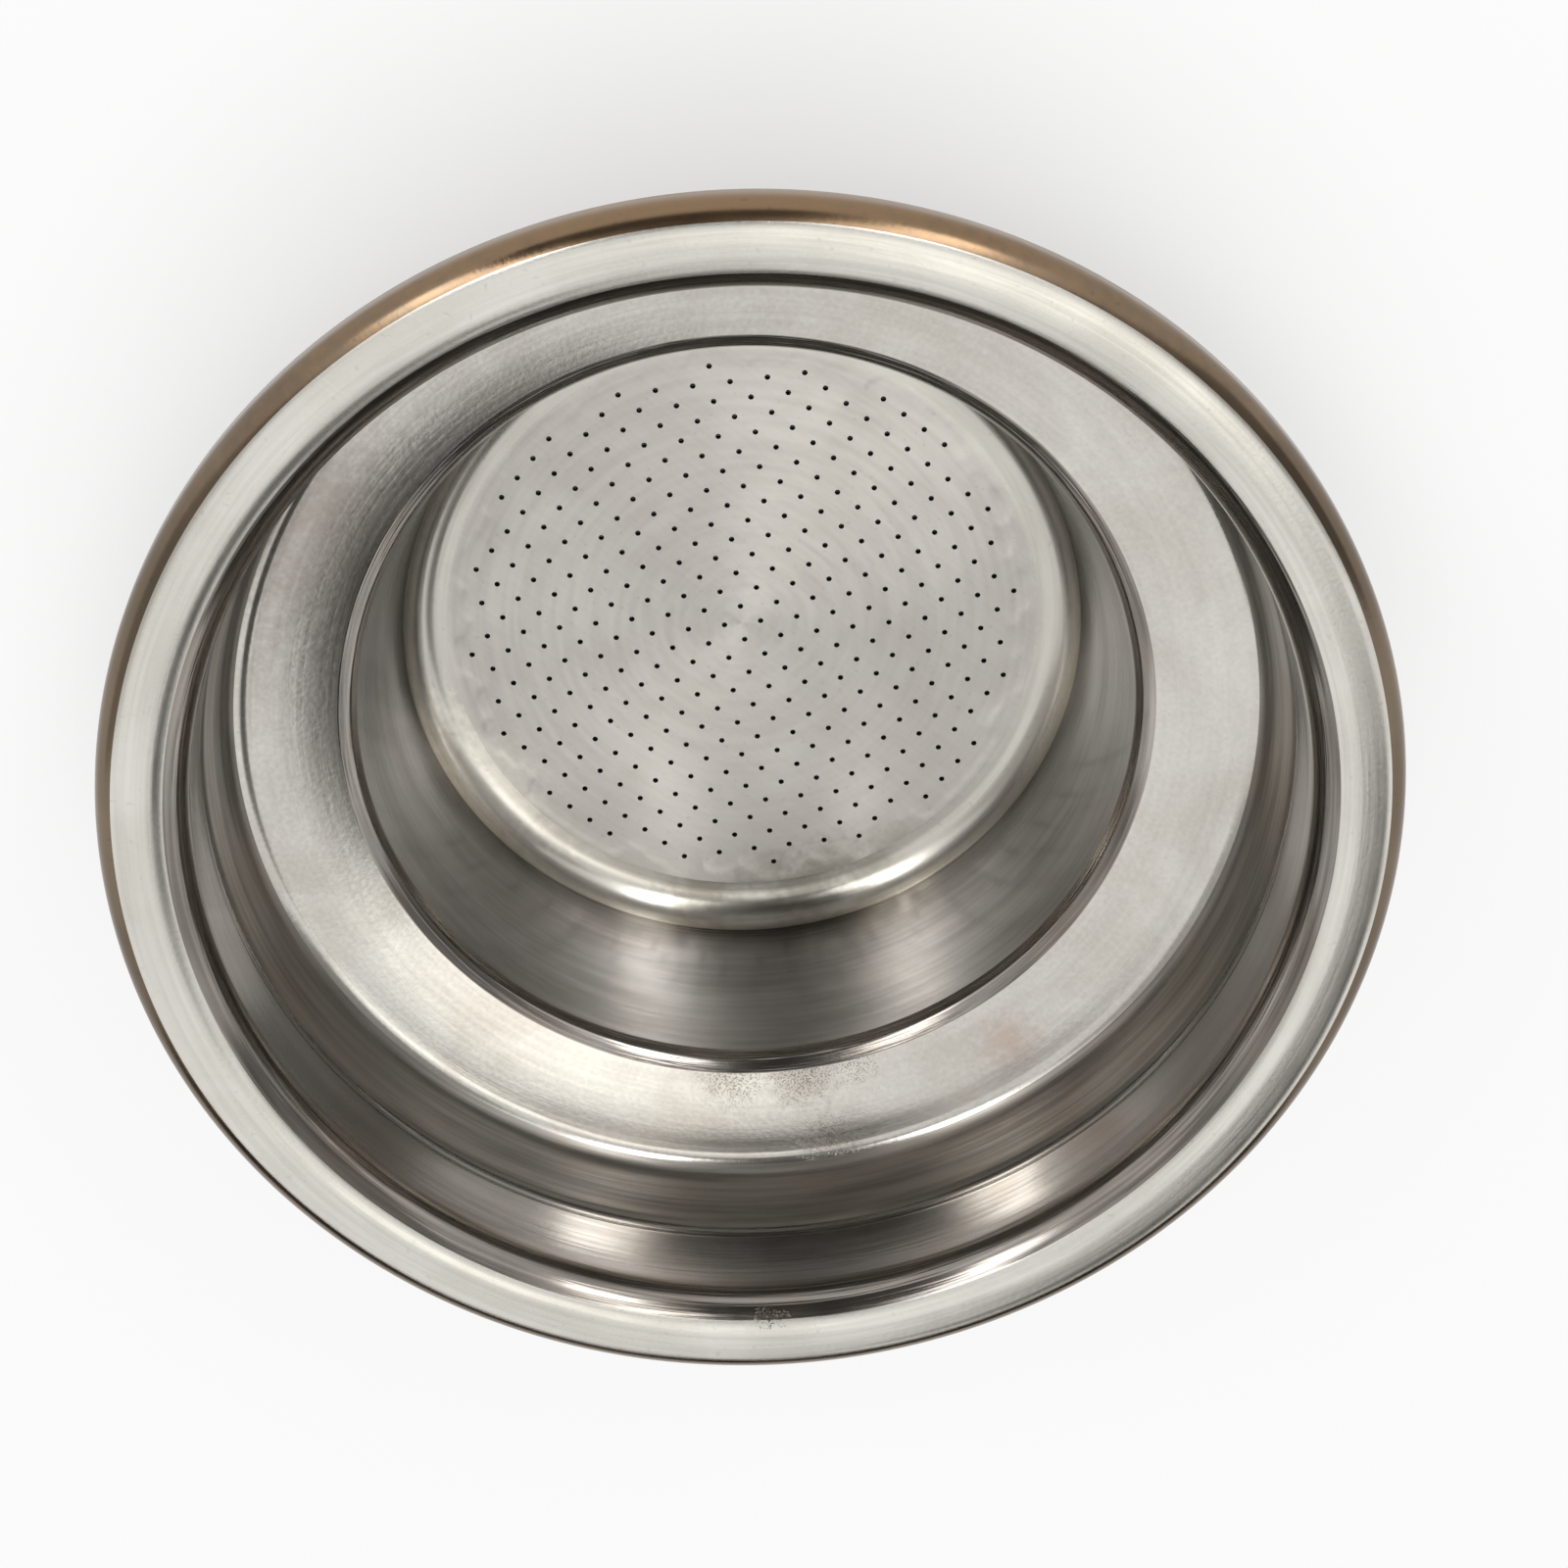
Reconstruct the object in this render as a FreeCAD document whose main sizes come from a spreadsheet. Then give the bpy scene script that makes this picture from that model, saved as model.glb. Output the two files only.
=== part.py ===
import FreeCAD, Part
import math
import os

import Sketcher
from FreeCAD import Placement, Rotation, Vector

# Single-dose filter basket of an espresso machine, pressed from one disc of
# stainless sheet: a perforated floor, a narrow tapered well, a sloping ledge,
# a wide bowl with a retaining bead, and a rim that turns outward and down.
# Millimetres. The origin is the middle of the underside of the floor, on which
# the basket stands, and +Z is the axis of revolution, towards the mouth.

# Every size that can be set by itself, by its name in the sheet "sizes".
SIZES = {
    # Thickness of the sheet.
    "sheet_thickness": 0.8,
    # Well, inside: radius of the floor, how far the wall leans out, and depth.
    "floor_radius": 20.1,
    "well_flare": 2.3,
    "well_depth": 13.9,
    # Ledge round the mouth of the well, rising outward.
    "ledge_width": 7.0,
    "ledge_rise": 1.25,
    # Bowl: how far its wall leans out under the bead, and depth to the ledge.
    "bowl_flare": 0.7,
    "bowl_depth": 13.15,
    # Retaining bead pressed outward in the bowl wall, measured from the rim.
    "bead_drop": 7.7,
    "bead_width": 1.5,
    "bead_depth": 0.35,
    # Rim: width outside the bowl, and height of the edge that is turned down.
    "rim_width": 4.9,
    "rim_depth": 2.4,
    # Bends. Concave ones are measured inside, convex ones outside.
    "floor_bend": 1.3,
    "well_bend": 0.9,
    "ledge_bend": 1.5,
    "mouth_bend": 2.3,
    "rim_bend": 1.45,
    # Holes, on a square grid that leaves a border round the floor. They taper,
    # and are widest at the underside.
    "hole_pitch": 1.56,
    "hole_border": 3.5,
    "hole_top": 0.3,
    "hole_bottom": 0.55,
}

NODE = "filter_basket"

doc = FreeCAD.newDocument("espresso_filter_basket")

sizes = doc.addObject("Spreadsheet::Sheet", "sizes")
for row, (name, value) in enumerate(SIZES.items(), start=1):
    sizes.set("A%d" % row, name)
    sizes.set("B%d" % row, str(value))
    sizes.setAlias("B%d" % row, name)
doc.recompute()

# Heights above the underside, as expressions on the sheet.
FLOOR = "sizes.sheet_thickness"
WELL_TOP = FLOOR + " + sizes.well_depth"
LEDGE_TOP = WELL_TOP + " + sizes.ledge_rise"
RIM_TOP = LEDGE_TOP + " + sizes.bowl_depth"
RIM_UNDER = RIM_TOP + " - sizes.sheet_thickness"
RIM_FOOT = RIM_TOP + " - sizes.rim_depth"
BEAD_MIDDLE = RIM_TOP + " - sizes.bead_drop"
BEAD_TOP = BEAD_MIDDLE + " + sizes.bead_width / 2"
BEAD_FOOT = BEAD_MIDDLE + " - sizes.bead_width / 2"

# The underside of the ledge lies one thickness below its upper face.
LEDGE_SLOPE = "sizes.ledge_rise / sizes.ledge_width"
UNDER = " - sizes.sheet_thickness * (1 - " + LEDGE_SLOPE + ")"

# Radii of the inner faces, each measured from the one inside it. The outer
# faces of the walls stand one thickness outside them.
WELL = "sizes.floor_radius + sizes.well_flare"
LEDGE = WELL + " + sizes.ledge_width"
BOWL = LEDGE + " + sizes.bowl_flare"
BEAD = BOWL + " + sizes.bead_depth"
RIM = BOWL + " + sizes.rim_width"
RIM_INSIDE = RIM + " - sizes.sheet_thickness"
OUT = " + sizes.sheet_thickness"

# Corners of the section as (radius, height, bend), with no bend at a sharp one.
# They go from the axis up the inner faces, over the rim and down the outer.
SHARP = None
SECTION = [
    ("0", FLOOR, SHARP),
    ("sizes.floor_radius", FLOOR, "sizes.floor_bend"),
    (WELL, WELL_TOP, "sizes.well_bend"),
    (LEDGE, LEDGE_TOP, "sizes.ledge_bend"),
    (BOWL, BEAD_FOOT, SHARP),
    (BEAD, BEAD_MIDDLE, SHARP),
    (BOWL, BEAD_TOP, SHARP),
    (BOWL, RIM_TOP, "sizes.mouth_bend"),
    (RIM, RIM_TOP, "sizes.rim_bend"),
    (RIM, RIM_FOOT, SHARP),
    (RIM_INSIDE, RIM_FOOT, SHARP),
    (RIM_INSIDE, RIM_UNDER, SHARP),
    (BOWL + OUT, RIM_UNDER, SHARP),
    (BOWL + OUT, BEAD_TOP, SHARP),
    (BEAD + OUT, BEAD_MIDDLE, SHARP),
    (BOWL + OUT, BEAD_FOOT, SHARP),
    (LEDGE + OUT, LEDGE_TOP + UNDER, "sizes.ledge_bend" + OUT),
    (WELL + OUT, WELL_TOP + UNDER, SHARP),
    ("sizes.floor_radius" + OUT, "0", "sizes.floor_bend" + OUT),
    ("0", "0", SHARP),
]


def number(expression):
    """Value of an expression on the sheet."""
    return float(sizes.evalExpression(expression))


def origin_item(body, role):
    """Plane or axis of a body's own origin."""
    return [item for item in body.Origin.OriginFeatures if item.Role == role][0]


def place_point(sketch, index, x, y):
    """Tie the first point of a piece of geometry to two expressions."""
    spot = sketch.Geometry[index]
    spot = spot.StartPoint if hasattr(spot, "StartPoint") else Vector(spot.X, spot.Y, 0)
    for kind, axis, expression, value in (
        ("DistanceX", -2, x, spot.x),
        ("DistanceY", -1, y, spot.y),
    ):
        if expression == "0":
            sketch.addConstraint(Sketcher.Constraint("PointOnObject", index, 1, axis))
        else:
            where = Sketcher.Constraint(kind, -1, 1, index, 1, value)
            sketch.setExpression(
                "Constraints[%d]" % sketch.addConstraint(where), expression
            )


def draw_outline(sketch, corners):
    """Closed outline whose corners and bends follow the sheet."""
    count = len(corners)
    points = [Vector(number(x), number(y), 0) for x, y, bend in corners]

    # Where the sides meet the bends: the tangent points at each corner.
    reach = []
    for index, (x, y, bend) in enumerate(corners):
        back = (points[index - 1] - points[index]).normalize()
        ahead = (points[(index + 1) % count] - points[index]).normalize()
        run = number(bend) / math.tan(back.getAngle(ahead) / 2) if bend else 0
        reach.append((points[index] + back * run, points[index] + ahead * run))

    for index in range(count):
        side = Part.LineSegment(reach[index][1], reach[(index + 1) % count][0])
        sketch.addGeometry(side, False)

    for index, (x, y, bend) in enumerate(corners):
        before = (index - 1) % count
        if bend is SHARP:
            sketch.addConstraint(Sketcher.Constraint("Coincident", before, 2, index, 1))
            place_point(sketch, index, x, y)
            continue
        start, end = reach[index]
        inward = ((start + end) / 2 - points[index]).normalize()
        half_corner = (start - points[index]).getAngle(end - points[index]) / 2
        middle = points[index] + inward * (number(bend) / math.sin(half_corner))
        left_turn = (points[index] - start).cross(end - points[index]).z > 0
        first, second = (1, 2) if left_turn else (2, 1)
        low, high = (start, end) if left_turn else (end, start)
        circle = Part.Circle(middle, Vector(0, 0, 1), number(bend))
        span = [math.atan2(spot.y - middle.y, spot.x - middle.x) for spot in (low, high)]
        arc = sketch.addGeometry(Part.ArcOfCircle(circle, *span), False)
        sketch.addConstraint(Sketcher.Constraint("Tangent", before, 2, arc, first))
        sketch.addConstraint(Sketcher.Constraint("Tangent", arc, second, index, 1))
        radius = sketch.addConstraint(Sketcher.Constraint("Radius", arc, number(bend)))
        sketch.setExpression("Constraints[%d]" % radius, bend)
        sharp = sketch.addGeometry(Part.Point(points[index]), True)
        place_point(sketch, sharp, x, y)
        sketch.addConstraint(Sketcher.Constraint("PointOnObject", sharp, 1, before))
        sketch.addConstraint(Sketcher.Constraint("PointOnObject", sharp, 1, index))


# The pressed shell: its section, revolved about the axis.
body = doc.addObject("PartDesign::Body", "pressed_shell")
section = body.newObject("Sketcher::SketchObject", "shell_section")
section.AttachmentSupport = (origin_item(body, "XZ_Plane"), [""])
section.MapMode = "FlatFace"
draw_outline(section, SECTION)
doc.recompute()
if not section.FullyConstrained:
    raise RuntimeError("the section is not fully constrained")

shell = body.newObject("PartDesign::Revolution", "shell")
shell.Profile = section
shell.ReferenceAxis = (section, ["V_Axis"])
shell.Angle = 360
body.Tip = shell
doc.recompute()


def hole_places():
    """Middles of the holes: a square grid about the axis, inside the border."""
    pitch = sizes.hole_pitch
    field = sizes.floor_radius - sizes.hole_border
    steps = int(field / pitch) + 1
    line = [(index + 0.5) * pitch for index in range(-steps, steps)]
    return [(x, y) for y in line for x in line if math.hypot(x, y) <= field]


# One tapered punch, as deep as the floor and half a thickness past each face,
# so its ends are narrower and wider than the hole by half the taper.
OVER = "sizes.sheet_thickness / 2"
NARROW = "(3 * sizes.hole_top - sizes.hole_bottom) / 4"
WIDE = "(3 * sizes.hole_bottom - sizes.hole_top) / 4"
punch = doc.addObject("Part::Wedge", "punch")
for edge, expression in (
    ("Xmin", "-" + WIDE),
    ("Xmax", WIDE),
    ("Zmin", "-" + WIDE),
    ("Zmax", WIDE),
    ("X2min", "-" + NARROW),
    ("X2max", NARROW),
    ("Z2min", "-" + NARROW),
    ("Z2max", NARROW),
    ("Ymin", "-" + OVER),
    ("Ymax", "sizes.sheet_thickness + " + OVER),
):
    punch.setExpression(edge, expression)
punch.Placement = Placement(Vector(0, 0, 0), Rotation(Vector(1, 0, 0), 90))
doc.recompute()


def punch_set():
    """A copy of the punch for every hole."""
    copies = []
    for x, y in hole_places():
        one = punch.Shape.copy()
        one.translate(Vector(x, y, 0))
        copies.append(one)
    return Part.makeCompound(copies)


punches = doc.addObject("Part::Feature", "punches")
punches.Shape = punch_set()
punches.Placement = Placement(Vector(0, 0, 0), Rotation())

basket = doc.addObject("Part::Cut", NODE)
basket.Label = NODE
basket.Base = body
basket.Tool = punches
basket.Placement = Placement(Vector(0, 0, 0), Rotation())
doc.recompute()

# Nothing is written unless every object is sound.
for item in doc.Objects:
    if "Invalid" in item.State or "Error" in item.State:
        raise RuntimeError("failed object: " + item.Name)
if basket.Shape.isNull() or not basket.Shape.isValid():
    raise RuntimeError("the basket is not a valid shape")
if len(basket.Shape.Solids) != 1:
    raise RuntimeError("the basket is not one solid")

os.makedirs("parts", exist_ok=True)
basket.Shape.exportStep("parts/%s.step" % NODE)

print("holes", len(hole_places()))
print("volume %.1f mm3" % basket.Shape.Volume)
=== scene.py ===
"""Dresses a perforated espresso filter basket in worn steel and sets it on a pale floor.

Metres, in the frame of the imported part: the basket stands on the middle of its floor at
the origin, and +Z is its axis, towards the mouth. Azimuths are degrees from +X.
"""

import math
from dataclasses import dataclass

import bmesh
import bpy
from bpy.props import FloatProperty, FloatVectorProperty, IntProperty, PointerProperty
from bpy.types import Operator, Panel, PropertyGroup
from mathutils import Euler, Matrix, Vector, geometry, noise


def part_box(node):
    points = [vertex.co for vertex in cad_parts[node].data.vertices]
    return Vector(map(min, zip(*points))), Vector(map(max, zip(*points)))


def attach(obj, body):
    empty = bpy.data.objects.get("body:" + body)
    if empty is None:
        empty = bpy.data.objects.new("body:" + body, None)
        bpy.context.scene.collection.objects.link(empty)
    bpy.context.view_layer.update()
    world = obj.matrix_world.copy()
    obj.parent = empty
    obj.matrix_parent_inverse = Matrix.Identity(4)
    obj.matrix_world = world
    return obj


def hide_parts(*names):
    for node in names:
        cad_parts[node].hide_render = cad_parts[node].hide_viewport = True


bl_info = {
    "name": "Espresso Filter Basket",
    "version": (1, 0, 0),
    "blender": (4, 5, 0),
    "location": "View3D > Sidebar > Basket",
    "description": "A perforated steel filter basket with a turned-down rim, on a pale floor",
    "category": "Object",
}

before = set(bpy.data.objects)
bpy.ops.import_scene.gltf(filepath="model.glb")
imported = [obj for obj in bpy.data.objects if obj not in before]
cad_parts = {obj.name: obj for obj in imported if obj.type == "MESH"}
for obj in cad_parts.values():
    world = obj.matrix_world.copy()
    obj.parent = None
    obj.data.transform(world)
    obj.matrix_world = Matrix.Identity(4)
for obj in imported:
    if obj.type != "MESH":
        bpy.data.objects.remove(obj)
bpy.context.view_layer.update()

NODE = "filter_basket"
MM = 0.001
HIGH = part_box(NODE)[1]


def length(label, text, value, least=0.0):
    """A length in metres that the panel shows with its unit."""
    return FloatProperty(
        name=label, description=text, default=value, min=least, precision=5,
        subtype="DISTANCE", unit="LENGTH",
    )


def tone(label, text, value):
    """A colour."""
    return FloatVectorProperty(
        name=label, description=text, default=value, min=0, max=1, size=3, subtype="COLOR",
    )


def share(label, text, value):
    """A number from nought to one."""
    return FloatProperty(
        name=label, description=text, default=value, min=0, max=1, subtype="FACTOR",
    )


class ShellSizes(PropertyGroup):
    """Sizes of the pressed shell.

    They are the solid part's, but for a softer floor bend, a wider lip of the well, and a
    slight crown on the ledge and the rim.
    """

    sheet: length("Sheet", "Thickness of the steel sheet", 0.8 * MM)
    rim_radius: length("Rim Radius", "Outer radius of the rim", HIGH[0])
    rim_top: length("Rim Top", "Height of the top of the rim over the table", HIGH[2])
    rim_width: length("Rim Width", "Width of the rim outside the bowl", 4.9 * MM)
    rim_depth: length("Rim Depth", "Height of the edge that is turned down", 2.4 * MM)
    bead_drop: length("Bead Drop", "Depth of the retaining bead under the rim", 7.7 * MM)
    bead_width: length("Bead Width", "Height of the retaining bead", 1.5 * MM)
    bead_depth: length("Bead Depth", "How far the bead is pressed outward", 0.35 * MM)
    bowl_flare: length("Bowl Flare", "How far the bowl leans out under the bead", 0.7 * MM)
    bowl_depth: length("Bowl Depth", "From the rim down to the ledge", 13.15 * MM)
    ledge_width: length("Ledge Width", "Width of the ledge round the well", 7.0 * MM)
    ledge_rise: length("Ledge Rise", "How far the ledge rises outward", 1.25 * MM)
    well_flare: length("Well Flare", "How far the well leans out", 2.3 * MM)
    floor_bend: length("Floor Bend", "Inner radius of the bend into the floor", 2.0 * MM)
    well_bend: length("Well Bend", "Radius of the lip of the well", 1.3 * MM)
    ledge_bend: length("Ledge Bend", "Radius of the bend outside the ledge", 1.5 * MM)
    mouth_bend: length("Mouth Bend", "Radius of the bend from the bowl to the rim", 2.3 * MM)
    rim_bend: length("Rim Bend", "Radius of the roll at the rim's edge", 1.45 * MM)
    ledge_crown: length(
        "Ledge Crown", "How far the ledge bulges half-way", 0.12 * MM, least=0.01 * MM,
    )
    rim_tilt: FloatProperty(
        name="Rim Tilt", description="How far the rim falls off each side of its crest",
        default=math.radians(1.5), min=0.001, subtype="ANGLE",
    )
    segments: IntProperty(
        name="Segments", description="Steps round the axis", default=270, min=32,
    )


class HoleSizes(PropertyGroup):
    """Sizes of the punched holes in the floor."""

    pitch: length("Pitch", "Distance between neighbouring holes", 1.56 * MM)
    border: length("Border", "Width of the floor left without holes", 3.5 * MM)
    top: length("Top", "Width of a hole at the upper face", 0.3 * MM)
    bottom: length("Bottom", "Width of a hole at the underside", 0.55 * MM)
    step: length("Step", "How deep the punched field is set into the floor", 0.03 * MM)
    sides: IntProperty(name="Sides", description="Steps round a hole", default=12, min=6)


class SteelTones(PropertyGroup):
    """Colours of the steel in each part of the basket, some darkened as painted reflection and
    shade.
    """

    floor: tone("Floor", "Satin steel of the perforated floor", (0.61, 0.585, 0.545))
    # The hole walls' dark tone is partly coffee residue and partly painted shade inside the
    # narrow holes.
    hole: tone("Holes", "Dark walls of the holes", (0.10, 0.08, 0.07))
    border: tone("Border", "Smoother steel round the perforated field", (0.58, 0.56, 0.51))
    # Painted reflection: the well is darker than the steel's own tone, for dark surroundings it
    # mirrors.
    well: tone("Well", "Dark polished steel of the well", (0.43, 0.425, 0.42))
    # Painted reflection: the lips are darker than the steel's own tone, for dark surroundings
    # they mirror.
    lip: tone("Lips", "Brown drawn steel of the tight bends", (0.30, 0.28, 0.26))
    ledge: tone("Ledge", "Satin steel of the ledge", (0.62, 0.60, 0.56))
    # Painted reflection: the step is darker than the steel's own tone, for dark surroundings it
    # mirrors.
    step: tone("Step", "Dull brown steel between the ledge and the bead", (0.29, 0.275, 0.255))
    # Painted reflection: the bowl is darker than the steel's own tone, for dark surroundings it
    # mirrors.
    bowl: tone("Bowl", "Dark drawn steel of the bowl over the bead", (0.36, 0.35, 0.345))
    rim: tone("Rim", "Bright satin steel of the rim", (0.68, 0.66, 0.61))
    # Painted reflection: the edge's dark brown tone stands for dark surroundings mirrored in
    # the roll.
    edge: tone("Edge", "Brown steel of the edge that is turned down", (0.17, 0.13, 0.095))
    outside: tone("Outside", "Drawn steel of the outside", (0.46, 0.43, 0.39))
    tarnish: tone("Tarnish", "Brown film that use leaves on the steel", (0.30, 0.24, 0.17))


class StageLook(PropertyGroup):
    """The pale floor and the light on it."""

    floor: tone("Floor", "Colour of the floor and the backdrop", (0.9, 0.9, 0.9))
    key: FloatProperty(name="Key", description="Strength of the soft key lamp", default=0.8)
    side: FloatProperty(name="Sides", description="Strength of the side lamps", default=5.0)
    fill: share("Fill", "Strength of the light from all round", 0.7)


class BasketSettings(PropertyGroup):
    """All that can be set for the basket and its stage."""

    shell: PointerProperty(type=ShellSizes)
    holes: PointerProperty(type=HoleSizes)
    tones: PointerProperty(type=SteelTones)
    stage: PointerProperty(type=StageLook)


CENTRE = Vector((0, 0))

# The finishes of the basket, in the order of its material slots.
FINISHES = (
    "floor", "hole", "border", "well", "lip", "ledge", "step", "bowl", "rim", "edge", "outside",
)


def bend(before, corner, after, radius, steps):
    """Points of the arc that rounds a corner of the section."""
    back = (before - corner).normalized()
    ahead = (after - corner).normalized()
    half = back.angle(ahead) / 2
    run = radius / math.tan(half)
    start, end = corner + back * run, corner + ahead * run
    middle = corner + (back + ahead).normalized() * (radius / math.sin(half))
    first, last = start - middle, end - middle
    turn = first.angle_signed(last)
    points = []
    for step in range(steps + 1):
        angle = -turn * step / steps
        cosine, sine = math.cos(angle), math.sin(angle)
        points.append(middle + Vector((
            first.x * cosine - first.y * sine, first.x * sine + first.y * cosine,
        )))
    return points


def divided(start, end, spacing):
    """Points between two others, no further apart than the spacing."""
    count = math.ceil((end - start).length / spacing)
    return [start.lerp(end, step / count) for step in range(1, count)]


def section_corners(shell):
    """The floor's radius, and the corners of the section.

    A corner is a radius, a height, a bend, the finishes along the bend and the finish of
    the run after it.
    """
    sheet = shell.sheet
    rim = shell.rim_radius
    bowl = rim - shell.rim_width
    ledge = bowl - shell.bowl_flare
    well = ledge - shell.ledge_width
    floor = well - shell.well_flare
    top = shell.rim_top
    ledge_top = top - shell.bowl_depth
    well_top = ledge_top - shell.ledge_rise
    bead = top - shell.bead_drop
    half_bead = shell.bead_width / 2
    soft = shell.bead_width * 0.66
    under = sheet * (1 - shell.ledge_rise / shell.ledge_width)
    # The ledge and the rim are crowned a little: half-way, a shallow bend of their own.
    half_ledge = shell.ledge_width / 2
    ledge_middle = (ledge_top + well_top) / 2 + shell.ledge_crown
    ledge_round = 0.55 * half_ledge * half_ledge / shell.ledge_crown
    crest = (bowl + shell.mouth_bend + rim - shell.rim_bend) / 2
    fall = math.tan(shell.rim_tilt)
    crest_round = 0.5 * MM / fall
    # The lip of the well is two narrow beads with a groove between them.
    cut = 0.65 * shell.well_bend
    facet = 0.28 * shell.well_bend
    groove = 0.12 * shell.well_bend
    lean = shell.well_flare / (well_top - sheet)
    rise = shell.ledge_rise / shell.ledge_width + shell.ledge_crown / half_ledge
    return floor, [
        (floor, sheet, shell.floor_bend, ("border",), "well"),
        (well - lean * cut, well_top - cut, facet, ("lip",), "lip"),
        (well + groove, well_top - groove, facet, ("lip",), "lip"),
        (well + cut, well_top + rise * cut, facet, ("lip",), "ledge"),
        (well + half_ledge, ledge_middle, ledge_round, ("ledge",), "ledge"),
        (ledge, ledge_top, shell.ledge_bend, ("ledge", "step", "step"), "step"),
        (bowl, bead - half_bead, soft, ("step",), "step"),
        (bowl + shell.bead_depth, bead, soft, ("bowl",), "bowl"),
        (bowl, bead + half_bead, soft, ("bowl",), "bowl"),
        (bowl, top - fall * (crest - bowl), shell.mouth_bend, ("lip", "lip", "rim"), "rim"),
        (crest, top, crest_round, ("rim",), "rim"),
        (rim, top - fall * (rim - crest), shell.rim_bend, ("rim",) + 5 * ("edge",), "edge"),
        (rim, top - shell.rim_depth, sheet / 4, ("edge",), "edge"),
        (rim - sheet, top - shell.rim_depth, sheet / 4, ("edge",), "outside"),
        (rim - sheet, top - sheet, shell.rim_bend - sheet, ("outside",), "outside"),
        (bowl + sheet, top - sheet, shell.mouth_bend - sheet, ("outside",), "outside"),
        (bowl + sheet, bead + half_bead, soft, ("outside",), "outside"),
        (bowl + sheet + shell.bead_depth, bead, soft, ("outside",), "outside"),
        (bowl + sheet, bead - half_bead, soft, ("outside",), "outside"),
        (ledge + sheet, ledge_top - under, shell.ledge_bend + sheet, ("outside",), "outside"),
        (well + sheet, well_top - under, sheet / 3, ("outside",), "outside"),
        (floor + sheet, 0, shell.floor_bend + sheet, ("outside",), "outside"),
    ]


# How the section is divided: steps along a tight bend and along any other, and the
# longest run between two points.
TIGHT_BEND = 0.7 * MM
TIGHT_STEPS = 4
BEND_STEPS = 10
LONGEST_RUN = 1.0 * MM


def shell_profile(shell, flat):
    """The section from the floor's edge over the rim and back to the underside.

    Gives the points and the finish of the run after each. The flat of the floor ends at
    the same radius on both faces.
    """
    corners = section_corners(shell)[1]
    places = [Vector((flat, shell.sheet))]
    places += [Vector(corner[:2]) for corner in corners]
    places.append(Vector((flat, 0)))
    profile = [(places[0], "border")]
    for index, (radius, height, turn, on_bend, on_run) in enumerate(corners, start=1):
        steps = TIGHT_STEPS if turn < TIGHT_BEND else BEND_STEPS
        arc = bend(places[index - 1], places[index], places[index + 1], turn, steps)
        last_point, last_finish = profile[-1]
        run = divided(last_point, arc[0], LONGEST_RUN)
        profile += [(point, last_finish) for point in run]
        for step, point in enumerate(arc[:-1]):
            profile.append((point, on_bend[step * len(on_bend) // (len(arc) - 1)]))
        profile.append((arc[-1], on_run))
    run = divided(profile[-1][0], places[-1], LONGEST_RUN)
    profile += [(point, "outside") for point in run]
    profile.append((places[-1], "outside"))
    return profile


def hole_places(holes, field):
    """Middles of the holes: a square grid about the axis, inside the border."""
    steps = int(field / holes.pitch) + 1
    line = [(index + 0.5) * holes.pitch for index in range(-steps, steps)]
    return [Vector((x, y)) for y in line for x in line if math.hypot(x, y) <= field]


def circle(middle, radius, count):
    """Points round a circle in the plane."""
    return [
        middle + Vector((
            radius * math.cos(math.tau * step / count),
            radius * math.sin(math.tau * step / count),
        ))
        for step in range(count)
    ]


def join_rings(mesh, first, second, finish):
    """A band of faces between two rings of as many vertices each."""
    for step in range(len(first)):
        ahead = (step + 1) % len(first)
        face = mesh.faces.new((first[step], first[ahead], second[ahead], second[step]))
        face.material_index = FINISHES.index(finish)


class FloorPlate:
    """One face of the perforated floor, between its rim and the holes."""

    def __init__(self, mesh, rim, holes, spare):
        """Fill the plate with triangles, and keep the ring of vertices at each hole.

        The rim and each hole are closed rings of points. The spare points lie between them.
        """
        points, loops = [], []
        for ring in [rim, *holes]:
            loops.append(range(len(points), len(points) + len(ring)))
            points += ring
        points += spare
        edges = []
        for loop in loops:
            edges += zip(loop, [*loop[1:], loop[0]])
        out, _, faces, _, _, _ = geometry.delaunay_2d_cdt(points, edges, [], 0, 1e-9)
        if len(out) != len(points):
            raise RuntimeError("the floor's holes run into each other")
        hole_of = {index: number for number, loop in enumerate(loops[1:]) for index in loop}
        self.vertices = [mesh.verts.new((point.x, point.y, 0)) for point in out]
        self.rings = [[self.vertices[index] for index in loop] for loop in loops[1:]]
        self.faces = []
        for face in faces:
            # A face whose corners all stand on one hole would cover it.
            owners = {hole_of.get(index, -1 - index) for index in face}
            if len(owners) > 1:
                self.faces.append(mesh.faces.new([self.vertices[index] for index in face]))


def smooth_step(value, low, high):
    """Goes from nought at low to one at high without a kink."""
    part = min(max((value - low) / (high - low), 0), 1)
    return part * part * (3 - 2 * part)


def nearest_hole(x, y, holes, field):
    """Distance from a point of the floor to the middle of the nearest hole."""
    best = math.inf
    column = math.floor(x / holes.pitch)
    row = math.floor(y / holes.pitch)
    for i in (column - 1, column, column + 1):
        for j in (row - 1, row, row + 1):
            middle = ((i + 0.5) * holes.pitch, (j + 0.5) * holes.pitch)
            if math.hypot(*middle) <= field:
                best = min(best, math.hypot(x - middle[0], y - middle[1]))
    return best


# The grid of extra points in the floor's upper face: its spacing, and every how many of
# them a point is kept where the face is flat.
FINE_SPACING = 0.2 * MM
COARSE_EVERY = 5

# Where the punched field steps down, in pitches from the nearest hole: the stretch that
# has the fine points, and the stretch in which the step lies.
FINE_STRETCH = (0.66, 1.1)
STEP_STRETCH = (0.70, 0.96)


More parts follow.
